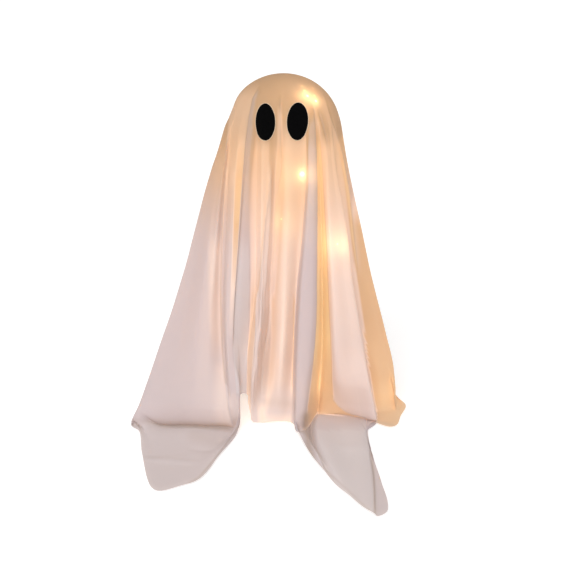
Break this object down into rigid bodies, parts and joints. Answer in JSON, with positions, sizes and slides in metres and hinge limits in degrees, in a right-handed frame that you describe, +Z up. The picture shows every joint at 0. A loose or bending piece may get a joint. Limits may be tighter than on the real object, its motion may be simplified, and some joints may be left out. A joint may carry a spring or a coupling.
{
  "type": "light-up draped ghost decoration",
  "caption": "Free-standing ghost decoration: a white cloth with oval eyes draped over a domed stand, lit from inside by a battery light string.",
  "frame": {"origin": "on the floor under the pole, at the centre of the flat underside of the rubber pad", "axes": "+Z up; the face and its eyes look along -Y; +X is to the right in a view of the face"},
  "size_m": [0.3755, 0.472, 0.456],
  "materials": {
    "cloth": "matte",
    "eye": "matte",
    "stand_plastic": "satin",
    "former_plastic": "satin",
    "case_plastic": "satin",
    "pole_paint": "satin",
    "steel_weight": "matte",
    "screw_steel": "satin",
    "rubber_pad": "matte",
    "cell_wrap": "satin",
    "contact_metal": "satin",
    "board": "satin",
    "switch_black": "satin",
    "wire": "gloss"
  },
  "bodies": {
    "stand": {"base_shell": "stand_plastic", "base_weight": "steel_weight", "base_plate": "stand_plastic", "base_screw_1": "screw_steel", "base_screw_2": "screw_steel", "base_screw_3": "screw_steel", "base_pad": "rubber_pad", "pole_lower": "pole_paint", "pole_upper": "pole_paint", "pole_coupler": "stand_plastic", "head_former": "former_plastic", "head_spider": "stand_plastic", "head_screw": "screw_steel", "battery_case": "case_plastic", "cell_1": "cell_wrap", "cell_2": "cell_wrap", "cell_3": "cell_wrap", "contact_spring_1": "contact_metal", "contact_spring_2": "contact_metal", "contact_spring_3": "contact_metal", "contact_strip_top": "contact_metal", "contact_strip_bottom": "contact_metal", "switch_board": "board", "switch_body": "switch_black", "case_clip": "stand_plastic", "light_string": "wire", "string_gland": "stand_plastic", "string_clip_1": "stand_plastic", "string_clip_2": "stand_plastic"},
    "cloth": {"cloth": "cloth", "eye_left": "eye", "eye_right": "eye"},
    "cover": {"battery_cover": "case_plastic"},
    "slider": {"switch_slider": "switch_black"}
  },
  "joints": [
    {"name": "cloth_lift", "type": "slide", "parent": "stand", "child": "cloth", "axis": [0, 0, 1], "range_m": [0, 0.46]},
    {"name": "cover_slide", "type": "slide", "parent": "stand", "child": "cover", "axis": [0, 0, 1], "range_m": [0, 0.066]},
    {"name": "switch_travel", "type": "slide", "parent": "stand", "child": "slider", "axis": [1, 0, 0], "range_m": [-0.004, 0]}
  ]
}
